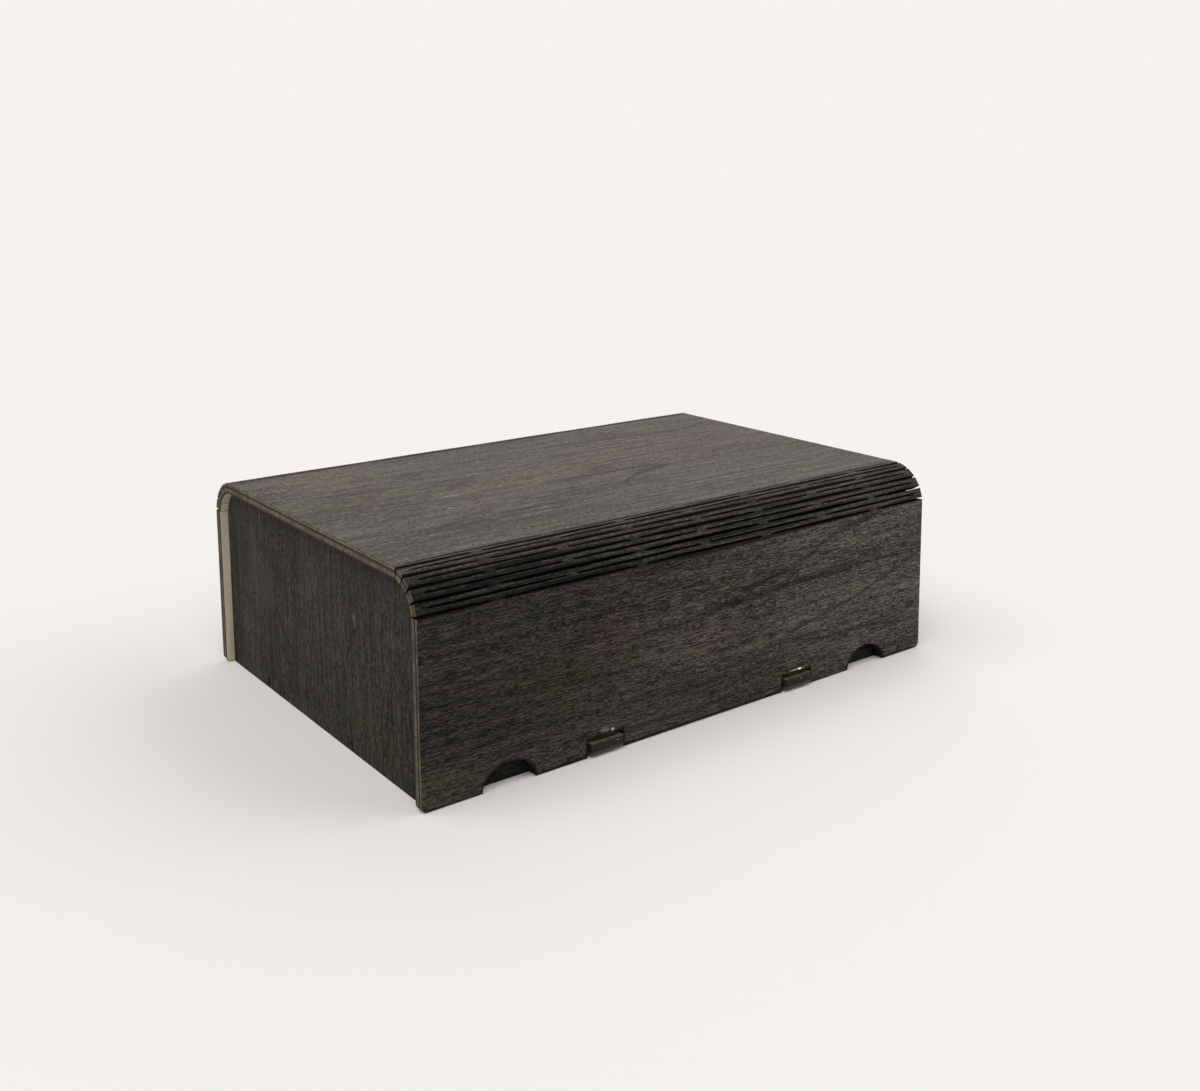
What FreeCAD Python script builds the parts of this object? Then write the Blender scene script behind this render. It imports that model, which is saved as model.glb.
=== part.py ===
import FreeCAD, Part
import math
import os
import Sketcher

# A small keepsake box cut from thin plywood: an open tray of five flat panels held by tabs,
# and one sheet bent over it as a cover that lifts straight off.
# X runs along the box, the front faces -Y, Z is up, and the origin is under the middle of
# the box on the surface that it stands on. Every length is in millimetres.

SIZES = [
    ("overall_length", 170.0, "cover, along X"),
    ("overall_depth", 120.0, "cover, over its front and back faces"),
    ("overall_height", 55.5, "top of the cover above the table"),
    ("sheet_thickness", 3.0, "plywood that every piece is cut from"),
    ("cover_overhang", 2.2, "cover past the end panel, at each end"),
    ("side_clearance", 0.3, "air between the tray and each cover wall"),
    ("cover_foot_height", 0.2, "lower edge of the cover above the table"),
    ("cover_corner_radius", 1.5, "lower corners of the cover walls"),
    ("bend_corners", 5.0, "corners that turn the sheet a quarter turn"),
    ("slat_width", 3.5, "outer face of a slat, from corner to corner"),
    ("slit_fields", 4.0, "slits that fill one row, end to end"),
    ("link_width", 3.2, "wood left between two slits of a row"),
    ("corner_slit_mouth", 0.6, "slit at a corner, on the outer face"),
    ("corner_slit_root", 0.2, "slit at a corner, on the inner face"),
    ("slat_slit_gap", 0.3, "slit along the middle of a slat"),
    ("thumb_notch_width", 14.8, "thumb notch along the lower edge"),
    ("thumb_notch_rise", 5.8, "top of a thumb notch above the lower edge"),
    ("thumb_notch_inset", 23.5, "middle of a thumb notch from the cover's end"),
    ("wall_below_bend", 0.7, "top of the tray walls below the start of the bend"),
    ("end_corner_ease", 2.0, "end panel corner radius past the bend's inside"),
    ("floor_height", 0.9, "underside of the tray floor above the table"),
    ("tab_width", 9.8, "every tab of the tray floor"),
    ("end_tab_spacing", 51.6, "between the two tabs at an end"),
    ("side_tab_spacing", 66.6, "between the two tabs along a side"),
    ("tab_stand_out", 1.0, "side tabs past the cover's face"),
    ("mortise_play", 0.15, "air at each side of a tab in its mortise"),
    ("notch_play", 0.55, "air at each side of a tab in the cover's notch"),
    ("notch_land_gap", 0.1, "air between a side tab and the cover above it"),
    ("relief_width", 2.4, "raised corner of a cover notch, along X"),
    ("relief_height", 0.6, "raised corner of a cover notch, upwards"),
]

# How far a cutter runs past the faces that it cuts.
CUT_PAST = 1.0

TRAY_LENGTH = "(dims.overall_length - 2 * dims.cover_overhang)"
TRAY_DEPTH = "(dims.overall_depth - 2 * dims.sheet_thickness - 2 * dims.side_clearance)"
TRAY_HEIGHT = "(dims.overall_height - dims.sheet_thickness)"
INNER_LENGTH = "(dims.overall_length - 2 * dims.cover_overhang - 2 * dims.sheet_thickness)"
INNER_DEPTH = "(dims.overall_depth - 4 * dims.sheet_thickness - 2 * dims.side_clearance)"
OVER_SIDE_TABS = "(dims.overall_depth + 2 * dims.tab_stand_out)"
MORTISE_WIDTH = "(dims.tab_width + 2 * dims.mortise_play)"
# The bend: the turn at one corner, its slats counted by how far they reach inwards, the
# width of a slat on the inner face, and how far the bend reaches there.
BEND_TURN = "(90 deg / dims.bend_corners)"
BEND_SLATS = "((1 / tan(%s / 2) - 1) / 2)" % BEND_TURN
INSIDE_SLAT = "(dims.slat_width - 2 * dims.sheet_thickness * tan(%s / 2))" % BEND_TURN
BEND_INSIDE = "(%s * %s)" % (BEND_SLATS, INSIDE_SLAT)
WALL_HEIGHT = "(%s - %s - dims.wall_below_bend)" % (TRAY_HEIGHT, BEND_INSIDE)


def make_sheet(doc):
    """Put every driving dimension in a spreadsheet cell with an alias."""
    sheet = doc.addObject("Spreadsheet::Sheet", "dims")
    for row, (alias, value, meaning) in enumerate(SIZES, start=1):
        sheet.set("A%d" % row, alias)
        sheet.set("B%d" % row, str(value))
        sheet.set("C%d" % row, meaning)
        sheet.setAlias("B%d" % row, alias)
    doc.recompute()
    return sheet


def value_of(doc, expression):
    """Number that an expression over the sheet gives."""
    result = doc.getObject("dims").evalExpression(expression)
    return float(getattr(result, "Value", result))


def bind(thing, **expressions):
    """Bind properties to the sheet. Placement_Base_x stands for Placement.Base.x."""
    for name, expression in expressions.items():
        thing.setExpression(name.replace("_Base_", ".Base."), expression)


def origin_plane(body, role):
    """Origin plane of a body, by its role, such as XY_Plane."""
    for feature in body.Origin.OriginFeatures:
        if feature.Role == role:
            return feature
    raise ValueError("no origin plane " + role)


def draw_polyline(sketch, points, closed):
    """Add straight lines from point to point and tie their ends together."""
    ends = points[1:] + points[:1] if closed else points[1:]
    first = sketch.GeometryCount
    count = len(ends)
    for start, end in zip(points, ends):
        sketch.addGeometry(Part.LineSegment(start, end), False)
    joints = count if closed else count - 1
    for step in range(joints):
        after = first + (step + 1) % count
        sketch.addConstraint(Sketcher.Constraint("Coincident", first + step, 2, after, 1))
    return first


def name_length(sketch, kind, items, expression, name):
    """Add a dimension to a sketch, name it and bind it to the sheet."""
    value = value_of(sketch.Document, expression)
    index = sketch.addConstraint(Sketcher.Constraint(kind, *items, value))
    sketch.renameConstraint(index, name)
    sketch.setExpression("Constraints." + name, expression)


def name_angle(sketch, items, expression, name):
    """Add an angle to a sketch, name it and bind it to the sheet."""
    degrees = value_of(sketch.Document, expression)
    index = sketch.addConstraint(Sketcher.Constraint("Angle", *items, math.radians(degrees)))
    sketch.renameConstraint(index, name)
    sketch.setExpression("Constraints." + name, expression)


def sketch_rectangle(body, role, name, left, bottom, width, height):
    """Rectangle on an origin plane. A left of None centres it on the vertical axis, and a
    bottom of None on the horizontal axis."""
    doc = body.Document
    sketch = body.newObject("Sketcher::SketchObject", name)
    sketch.AttachmentSupport = [(origin_plane(body, role), "")]
    sketch.MapMode = "FlatFace"
    wide = value_of(doc, width)
    tall = value_of(doc, height)
    x0 = -wide / 2 if left is None else value_of(doc, left)
    y0 = -tall / 2 if bottom is None else value_of(doc, bottom)
    corners = [(x0, y0), (x0 + wide, y0), (x0 + wide, y0 + tall), (x0, y0 + tall)]
    points = [FreeCAD.Vector(x, y, 0) for x, y in corners]
    low = draw_polyline(sketch, points, closed=True)
    right, top, side = low + 1, low + 2, low + 3
    sketch.addConstraint(Sketcher.Constraint("Horizontal", top))
    sketch.addConstraint(Sketcher.Constraint("Vertical", side))
    name_length(sketch, "DistanceX", (low, 1, low, 2), width, "width")
    name_length(sketch, "DistanceY", (right, 1, right, 2), height, "height")
    if left is None:
        sketch.addConstraint(Sketcher.Constraint("Symmetric", low, 1, low, 2, -2))
    else:
        sketch.addConstraint(Sketcher.Constraint("Horizontal", low))
        name_length(sketch, "DistanceX", (-1, 1, low, 1), left, "left")
    if bottom is None:
        sketch.addConstraint(Sketcher.Constraint("Symmetric", right, 1, right, 2, -1))
    else:
        sketch.addConstraint(Sketcher.Constraint("Vertical", right))
        name_length(sketch, "DistanceY", (-1, 1, low, 1), bottom, "bottom")
    return sketch


def pad(body, name, sketch, reverse=False):
    """Raise a sketch by one sheet thickness."""
    feature = body.newObject("PartDesign::Pad", name)
    feature.Profile = sketch
    feature.Reversed = reverse
    bind(feature, Length="dims.sheet_thickness")
    body.Tip = feature
    return feature


def pocket_through(body, name, sketch):
    """Cut a sketch through the panel, on both sides of the sketch plane."""
    feature = body.newObject("PartDesign::Pocket", name)
    feature.Profile = sketch
    feature.Type = "ThroughAll"
    feature.Midplane = True
    body.Tip = feature
    return feature


def mirror(body, name, original, role):
    """Repeat a feature on the other side of an origin plane."""
    feature = body.newObject("PartDesign::Mirrored", name)
    feature.Originals = [original]
    feature.MirrorPlane = (origin_plane(body, role), [""])
    body.Tip = feature
    return feature


def new_body(doc, label):
    body = doc.addObject("PartDesign::Body", label)
    body.Label = label
    return body


def make_bottom_panel(doc):
    """Tray floor with two tabs at each end and two along each side."""
    body = new_body(doc, "bottom_panel")
    outline = sketch_rectangle(
        body, "XY_Plane", "floor_outline", None, None, INNER_LENGTH, INNER_DEPTH)
    pad(body, "floor", outline)
    end_tabs = sketch_rectangle(
        body, "XY_Plane", "end_tab_strip", None,
        "dims.end_tab_spacing / 2 - dims.tab_width / 2", TRAY_LENGTH, "dims.tab_width")
    mirror(body, "end_tabs", pad(body, "end_tab_pair", end_tabs), "XZ_Plane")
    side_tabs = sketch_rectangle(
        body, "XY_Plane", "side_tab_strip",
        "dims.side_tab_spacing / 2 - dims.tab_width / 2", None, "dims.tab_width",
        OVER_SIDE_TABS)
    mirror(body, "side_tabs", pad(body, "side_tab_pair", side_tabs), "YZ_Plane")
    bind(body, Placement_Base_z="dims.floor_height")
    return body


def cut_mortises(body, role, spacing, mirror_role):
    """Two openings that the tabs of the tray floor stand in."""
    opening = sketch_rectangle(
        body, role, "mortise_outline", "%s / 2 - %s / 2" % (spacing, MORTISE_WIDTH),
        "dims.floor_height", MORTISE_WIDTH, "dims.sheet_thickness")
    mirror(body, "mortises", pocket_through(body, "mortise", opening), mirror_role)


def make_end_panel(doc, label, place_x):
    """End of the tray, as high as the underside of the cover, its top corners rounded to
    pass inside the bends."""
    body = new_body(doc, label)
    outline = sketch_rectangle(body, "YZ_Plane", "end_outline", None, "0", TRAY_DEPTH, TRAY_HEIGHT)
    panel = pad(body, "panel", outline)
    doc.recompute()
    top = value_of(doc, TRAY_HEIGHT)
    side = value_of(doc, TRAY_DEPTH) / 2
    corners = []
    for number, edge in enumerate(panel.Shape.Edges, start=1):
        box = edge.BoundBox
        at_corner = abs(box.ZMin - top) < 1e-6 and abs(abs(box.Center.y) - side) < 1e-6
        if at_corner and box.YLength < 1e-6:
            corners.append("Edge%d" % number)
    rounded = body.newObject("PartDesign::Fillet", "rounded_corners")
    rounded.Base = (panel, corners)
    bind(rounded, Radius=BEND_INSIDE + " + dims.end_corner_ease")
    body.Tip = rounded
    cut_mortises(body, "YZ_Plane", "dims.end_tab_spacing", "XZ_Plane")
    bind(body, Placement_Base_x=place_x)
    return body


def make_inner_wall(doc, label, place_y):
    """Front or back wall of the tray, between the end panels."""
    body = new_body(doc, label)
    outline = sketch_rectangle(
        body, "XZ_Plane", "wall_outline", None, "0", INNER_LENGTH, WALL_HEIGHT)
    pad(body, "wall", outline, reverse=True)
    cut_mortises(body, "XZ_Plane", "dims.side_tab_spacing", "YZ_Plane")
    bind(body, Placement_Base_y=place_y)
    return body


def bend_stations(doc):
    """Outer corners of the front bend, from the top down, and the middles of its slats.

    Each station is (y, z, lean), where lean is how far the outward normal has turned from
    straight up, in degrees."""
    turn = 90.0 / value_of(doc, "dims.bend_corners")
    slat = value_of(doc, "dims.slat_width")
    slats = round(value_of(doc, "dims.bend_corners")) - 1
    top = value_of(doc, "dims.overall_height")
    reach = slat * sum(math.cos(math.radians(turn * step)) for step in range(1, slats + 1))
    y = -value_of(doc, "dims.overall_depth") / 2 + reach
    z = top
    corners = [(y, z, turn / 2)]
    middles = [(y + slat / 2, z, 0.0)]
    for step in range(1, slats + 1):
        lean = turn * step
        along_y = -slat * math.cos(math.radians(lean))
        along_z = -slat * math.sin(math.radians(lean))
        middles.append((y + along_y / 2, z + along_z / 2, lean))
        y += along_y
        z += along_z
        corners.append((y, z, lean + turn / 2))
    return corners, middles


def draw_bend_line(doc):
    """Outer line of half the cover: front wall, slats of the bend, half of the top."""
    sketch = doc.addObject("Sketcher::SketchObject", "cover_bend_line")
    plane = FreeCAD.Rotation(FreeCAD.Vector(1, 1, 1), 120)
    sketch.Placement = FreeCAD.Placement(FreeCAD.Vector(0, 0, 0), plane)
    corners, _ = bend_stations(doc)
    front = -value_of(doc, "dims.overall_depth") / 2
    foot = value_of(doc, "dims.cover_foot_height")
    top = value_of(doc, "dims.overall_height")
    places = [(front, foot)] + [(y, z) for y, z, _ in reversed(corners)] + [(0, top)]
    points = [FreeCAD.Vector(y, z, 0) for y, z in places]
    wall = draw_polyline(sketch, points, closed=False)
    crown = wall + len(points) - 2
    sketch.addConstraint(Sketcher.Constraint("Vertical", wall))
    sketch.addConstraint(Sketcher.Constraint("Horizontal", crown))
    sketch.addConstraint(Sketcher.Constraint("PointOnObject", crown, 2, -2))
    name_length(sketch, "DistanceX", (wall, 1, -1, 1), "dims.overall_depth / 2", "half_depth")
    name_length(sketch, "DistanceY", (-1, 1, wall, 1), "dims.cover_foot_height", "foot")
    name_length(sketch, "DistanceY", (-1, 1, crown, 2), "dims.overall_height", "top")
    for slat in range(wall + 1, crown):
        name_length(
            sketch, "Distance", (slat,), "dims.slat_width", "slat_%d" % (slat - wall))
    for line in range(wall, crown - 1):
        name_angle(
            sketch, (line, 2, line + 1, 1), "180 deg - 90 deg / dims.bend_corners",
            "corner_%d" % (line - wall + 1))
    return sketch


def make_half_sheet(doc):
    """Front half of the cover before any cut: the bend line thickened inwards."""
    section = doc.addObject("Part::Offset2D", "cover_section")
    section.Source = draw_bend_line(doc)
    section.Mode = "Skin"
    section.Join = "Intersection"
    section.Fill = True
    bind(section, Value="dims.sheet_thickness")
    blank = doc.addObject("Part::Extrusion", "cover_half_blank")
    blank.Base = section
    blank.DirMode = "Custom"
    blank.Dir = FreeCAD.Vector(1, 0, 0)
    blank.Symmetric = True
    blank.Solid = True
    bind(blank, LengthFwd="dims.overall_length")
    doc.recompute()
    foot = value_of(doc, "dims.cover_foot_height")
    end = value_of(doc, "dims.overall_length") / 2
    radius = value_of(doc, "dims.cover_corner_radius")
    corners = []
    for number, edge in enumerate(blank.Shape.Edges, start=1):
        box = edge.BoundBox
        at_foot = abs(box.ZMax - foot) < 1e-6 and abs(abs(box.Center.x) - end) < 1e-6
        if at_foot and box.XLength < 1e-6:
            corners.append((number, radius, radius))
    rounded = doc.addObject("Part::Fillet", "cover_half_rounded")
    rounded.Base = blank
    rounded.Edges = corners
    return rounded


def make_blade(doc, name, station, mouth, root):
    """Long thin wedge that cuts one row of slits at a station of the bend."""
    y, z, lean = station
    blade = doc.addObject("Part::Wedge", name)
    bind(
        blade,
        Xmin="-%s / 2" % mouth, Xmax="%s / 2" % mouth,
        X2min="-%s / 2" % root, X2max="%s / 2" % root,
        Ymin="-%s" % CUT_PAST, Ymax="dims.sheet_thickness + %s" % CUT_PAST,
        Zmin="-dims.overall_length / 2 - %s" % CUT_PAST,
        Zmax="dims.overall_length / 2 + %s" % CUT_PAST,
        Z2min="-dims.overall_length / 2 - %s" % CUT_PAST,
        Z2max="dims.overall_length / 2 + %s" % CUT_PAST)
    angle = math.radians(lean)
    inward = FreeCAD.Vector(0, math.sin(angle), -math.cos(angle))
    lengthwise = FreeCAD.Vector(1, 0, 0)
    turned = FreeCAD.Rotation(inward.cross(lengthwise), inward, lengthwise, "ZXY")
    blade.Placement = FreeCAD.Placement(FreeCAD.Vector(0, y, z), turned)
    return blade


def make_link(doc, name, middle, width):
    """Block that keeps the blades off the wood between two slits."""
    link = doc.addObject("Part::Box", name)
    bind(
        link, Length=width, Width="dims.overall_depth / 2", Height="2 * dims.overall_height",
        Placement_Base_x="%s - %s / 2" % (middle, width),
        Placement_Base_y="-dims.overall_depth / 2 - %s" % CUT_PAST)
    return link


def cut_rows(doc, name, blades, links):
    """Rows of slits: the blades, less the links."""
    steel = doc.addObject("Part::Compound", name + "_blades")
    steel.Links = blades
    kept = doc.addObject("Part::Compound", name + "_links")
    kept.Links = links
    rows = doc.addObject("Part::Cut", name)
    rows.Base = steel
    rows.Tool = kept
    return rows


def make_slits(doc):
    """Two families of slit rows. At the corners the slits run out at the cover's ends. Along
    the slats they are staggered by half a slit, and the wood at the ends stays whole."""
    corners, middles = bend_stations(doc)
    fields = round(value_of(doc, "dims.slit_fields"))
    step = "dims.overall_length / dims.slit_fields"
    corner_blades = []
    for row, station in enumerate(corners):
        corner_blades.append(make_blade(
            doc, "corner_blade_%d" % row, station, "dims.corner_slit_mouth",
            "dims.corner_slit_root"))
    corner_links = []
    for link in range(fields):
        middle = "%s * (%d + 0.5 - dims.slit_fields / 2)" % (step, link)
        corner_links.append(make_link(doc, "corner_link_%d" % link, middle, "dims.link_width"))
    slat_blades = []
    for row, station in enumerate(middles):
        slat_blades.append(make_blade(
            doc, "slat_blade_%d" % row, station, "dims.slat_slit_gap", "dims.slat_slit_gap"))
    slat_links = []
    for link in range(fields + 1):
        middle = "%s * (%d - dims.slit_fields / 2)" % (step, link)
        at_end = link in (0, fields)
        width = "2 * dims.link_width" if at_end else "dims.link_width"
        slat_links.append(make_link(doc, "slat_link_%d" % link, middle, width))
    return [
        cut_rows(doc, "corner_slits", corner_blades, corner_links),
        cut_rows(doc, "slat_slits", slat_blades, slat_links),
    ]


def make_wall_cutter(doc, name, left, width, top):
    """Block through the cover's front wall, open at the bottom."""
    cutter = doc.addObject("Part::Box", name)
    bind(
        cutter, Length=width, Width="dims.sheet_thickness + 2 * %s" % CUT_PAST,
        Height="%s + %s" % (top, CUT_PAST), Placement_Base_x=left,
        Placement_Base_y="-dims.overall_depth / 2 - %s" % CUT_PAST,
        Placement_Base_z="-%s" % CUT_PAST)
    return cutter


def make_thumb_cutter(doc, side, sign):
    """Block under half an ellipse that stands on the cover's lower edge."""
    outline = doc.addObject("Part::Ellipse", side + "_thumb_outline")
    outline.Placement = FreeCAD.Placement(
        FreeCAD.Vector(0, 0, 0), FreeCAD.Rotation(FreeCAD.Vector(1, 0, 0), 90))
    bind(
        outline, MajorRadius="dims.thumb_notch_width / 2",
        MinorRadius="dims.thumb_notch_rise",
        Placement_Base_x="%s * (dims.overall_length / 2 - dims.thumb_notch_inset)" % sign,
        Placement_Base_y="-dims.overall_depth / 2 - %s" % CUT_PAST,
        Placement_Base_z="dims.cover_foot_height")
    cutter = doc.addObject("Part::Extrusion", side + "_thumb_notch")
    cutter.Base = outline
    cutter.DirMode = "Custom"
    cutter.Dir = FreeCAD.Vector(0, 1, 0)
    cutter.Solid = True
    bind(cutter, LengthFwd="dims.sheet_thickness + 2 * %s" % CUT_PAST)
    return cutter


def make_notches(doc):
    """Thumb notches and tab notches along the lower edge of the cover's front wall."""
    cutters = []
    land = "dims.floor_height + dims.sheet_thickness + dims.notch_land_gap"
    notch = "(dims.tab_width + 2 * dims.notch_play)"
    for side, sign in (("left", "-1"), ("right", "1")):
        middle = "%s * dims.side_tab_spacing / 2" % sign
        left = "%s - %s / 2" % (middle, notch)
        right = "%s + %s / 2 - dims.relief_width" % (middle, notch)
        raised = land + " + dims.relief_height"
        cutters.append(make_thumb_cutter(doc, side, sign))
        cutters.append(make_wall_cutter(doc, side + "_tab_notch", left, notch, land))
        cutters.append(make_wall_cutter(
            doc, side + "_relief_left", left, "dims.relief_width", raised))
        cutters.append(make_wall_cutter(
            doc, side + "_relief_right", right, "dims.relief_width", raised))
    return cutters


def make_cover(doc):
    """One sheet bent over the tray. The back half is the mirror of the front half."""
    sheet = make_half_sheet(doc)
    tools = doc.addObject("Part::Compound", "cover_tools")
    tools.Links = make_slits(doc) + make_notches(doc)
    front = doc.addObject("Part::Cut", "cover_front_half")
    front.Base = sheet
    front.Tool = tools
    back = doc.addObject("Part::Mirroring", "cover_back_half")
    back.Source = front
    back.Normal = FreeCAD.Vector(0, 1, 0)
    cover = doc.addObject("Part::Fuse", "cover")
    cover.Base = front
    cover.Tool = back
    cover.Refine = True
    cover.Label = "cover"
    return cover


def check(doc, pieces):
    """Stop on a failed object or a piece that isn't one sound solid."""
    for thing in doc.Objects:
        states = set(thing.State)
        if states & {"Invalid", "Error"}:
            raise RuntimeError("%s is %s" % (thing.Name, sorted(states)))
    for piece in pieces:
        shape = piece.Shape
        if shape.isNull() or not shape.isValid() or len(shape.Solids) != 1:
            raise RuntimeError(piece.Label + " isn't one valid solid")


def main():
    doc = FreeCAD.newDocument("keepsake_box")
    make_sheet(doc)
    half_length = TRAY_LENGTH + " / 2"
    half_depth = TRAY_DEPTH + " / 2"
    pieces = [
        make_bottom_panel(doc),
        make_end_panel(doc, "left_end_panel", "-" + half_length),
        make_end_panel(doc, "right_end_panel", half_length + " - dims.sheet_thickness"),
        make_inner_wall(doc, "inner_front_wall", "-" + half_depth),
        make_inner_wall(doc, "inner_back_wall", half_depth + " - dims.sheet_thickness"),
        make_cover(doc),
    ]
    doc.recompute()
    check(doc, pieces)
    os.makedirs("parts", exist_ok=True)
    for piece in pieces:
        piece.Shape.exportStep("parts/%s.step" % piece.Label)
        box = piece.Shape.BoundBox
        print("%-18s volume %9.1f  X %.2f..%.2f  Y %.2f..%.2f  Z %.2f..%.2f" % (
            piece.Label, piece.Shape.Volume, box.XMin, box.XMax, box.YMin, box.YMax,
            box.ZMin, box.ZMax))


main()
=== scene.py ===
"""Looks of a keepsake box cut from thin stained plywood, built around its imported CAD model."""

import math
from functools import partial

import bmesh
import bpy
from bpy.props import FloatProperty, FloatVectorProperty, IntProperty, PointerProperty
from mathutils import Matrix, Vector


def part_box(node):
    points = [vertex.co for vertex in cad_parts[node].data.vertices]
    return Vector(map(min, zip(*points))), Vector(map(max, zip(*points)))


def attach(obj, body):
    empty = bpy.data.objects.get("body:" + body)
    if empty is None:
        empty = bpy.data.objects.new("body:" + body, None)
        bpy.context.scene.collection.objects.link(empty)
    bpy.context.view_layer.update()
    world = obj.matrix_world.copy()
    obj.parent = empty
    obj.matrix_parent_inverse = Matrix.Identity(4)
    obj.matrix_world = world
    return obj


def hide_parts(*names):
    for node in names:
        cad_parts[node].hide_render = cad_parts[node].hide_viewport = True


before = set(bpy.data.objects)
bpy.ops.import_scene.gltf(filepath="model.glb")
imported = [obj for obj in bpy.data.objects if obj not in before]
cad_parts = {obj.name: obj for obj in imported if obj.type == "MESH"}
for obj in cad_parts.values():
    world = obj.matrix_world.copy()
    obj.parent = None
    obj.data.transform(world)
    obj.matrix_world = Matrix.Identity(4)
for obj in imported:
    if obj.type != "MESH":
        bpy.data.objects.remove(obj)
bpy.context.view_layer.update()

bl_info = {
    "name": "Keepsake Box",
    "version": (1, 0, 0),
    "blender": (4, 5, 0),
    "location": "3D Viewport > Sidebar > Keepsake Box",
    "description": "Dresses the plywood keepsake box in stained wood and sets its stage",
    "category": "Object",
}

COVER_LOW, COVER_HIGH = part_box("cover")
COVER_LENGTH = COVER_HIGH.x - COVER_LOW.x
MM = 0.001

# Places of a piece's materials: outer face, inner face, cut edge, and the wall of a slit.
OUTER, INNER, EDGE, SLIT = range(4)


def length_property(name, description, default, **limits):
    """Setting for a length in metres."""
    return FloatProperty(
        name=name, description=description, default=default, unit="LENGTH", **limits)


def colour_property(name, description, default):
    """Setting for a colour."""
    return FloatVectorProperty(
        name=name, description=description, default=default, subtype="COLOR", size=3, min=0,
        max=1)


class KeepsakeSizes(bpy.types.PropertyGroup):
    """Sizes of the sheet and of the bend, as the CAD model has them, and how the wood gives."""

    sheet: length_property("Sheet", "Thickness of the plywood", 3 * MM, min=MM)
    slat: length_property("Slat", "Outer width of a slat of the bend", 3.5 * MM, min=MM)
    corners: IntProperty(
        name="Corners", description="Corners that turn the sheet a quarter turn", default=5,
        min=2, max=12)
    fields: IntProperty(
        name="Fields", description="Slits that fill one row, end to end", default=4, min=1,
        max=8)
    slit_gape: length_property(
        "Slit gape", "Width of a slit in its middle", 0.95 * MM, min=0.1 * MM, max=1.2 * MM)
    slit_tip: length_property(
        "Slit tip", "Width of a slit at its ends", 0.3 * MM, min=0.1 * MM, max=0.9 * MM)
    twist: length_property(
        "Twist", "How far the wood between two rows twists in and out", 0.12 * MM, min=0,
        max=0.14 * MM)
    edge_ease: length_property(
        "Edge ease", "Rounding of the handled edges", 0.14 * MM, min=0.01 * MM)


class KeepsakeWood(bpy.types.PropertyGroup):
    """Colours of the plywood, bare, stained and burnt by the cutter."""

    stain: colour_property(
        "Stain", "Charcoal stain on the outer faces", (0.0425, 0.0390, 0.0330))
    stain_plum: colour_property(
        "Plum patches", "Where the stain leans to red", (0.056, 0.0415, 0.0365))
    stain_olive: colour_property(
        "Olive patches", "Where the wood shows through", (0.0465, 0.0415, 0.0285))
    bare: colour_property("Bare wood", "Unstained inner faces", (0.51, 0.445, 0.33))
    edge_gold: colour_property(
        "Edge ply", "Face ply seen at a cut edge", (0.135, 0.104, 0.070))
    edge_core: colour_property(
        "Edge core", "Middle ply seen at a cut edge", (0.100, 0.076, 0.047))
    # Char also colours the painted shade at the inner face of cut edges and on the tabs.
    char: colour_property("Char", "Wood burnt by the cutter", (0.012, 0.009, 0.007))


class KeepsakeStage(bpy.types.PropertyGroup):
    """Floor, light and the camera at the photograph's place."""

    floor: colour_property("Floor", "Pale table top", (0.80, 0.775, 0.75))
    backdrop: colour_property("Backdrop", "Paper behind the box", (0.913, 0.888, 0.863))
    sky: FloatProperty(
        name="Sky", description="Strength of the light from all around", default=0.08, min=0)
    lamps: FloatProperty(
        name="Lamps", description="Strength of all soft lamps together", default=1.0, min=0)
    camera_place: FloatVectorProperty(
        name="Camera place", description="Where the photograph was taken from", size=3,
        subtype="TRANSLATION", unit="LENGTH", default=(-0.2197, -0.3105, 0.1462))
    camera_turn: FloatVectorProperty(
        name="Camera turn", description="Heading, dip and roll of the camera", size=3,
        subtype="EULER", unit="ROTATION",
        default=(math.radians(37.53), math.radians(8.39), math.radians(-0.21)))
    lens: FloatProperty(
        name="Lens", description="Focal length in millimetres on a 36 mm sensor",
        default=39.75, min=1)
    shift_x: FloatProperty(
        name="Shift across", description="Lens shift of the photograph, across",
        default=-0.0193)
    shift_y: FloatProperty(
        name="Shift up", description="Lens shift of the photograph, upwards",
        default=-0.1585)


class Wire:
    """An output socket that can stand in a sum, so that a mask reads as maths."""

    def __init__(self, bench, socket):
        self.bench = bench
        self.socket = socket

    def __add__(self, other):
        return self.bench.math("ADD", self, other)

    def __sub__(self, other):
        return self.bench.math("SUBTRACT", self, other)

    def __rsub__(self, other):
        return self.bench.math("SUBTRACT", other, self)

    def __mul__(self, other):
        return self.bench.math("MULTIPLY", self, other)

    def __truediv__(self, other):
        return self.bench.math("DIVIDE", self, other)

    def __rtruediv__(self, other):
        return self.bench.math("DIVIDE", other, self)

    def __pow__(self, power):
        return self.bench.math("POWER", self, power)

    def __rpow__(self, base):
        return self.bench.math("POWER", base, self)

    def __abs__(self):
        return self.bench.math("ABSOLUTE", self)

    __radd__ = __add__
    __rmul__ = __mul__


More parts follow.
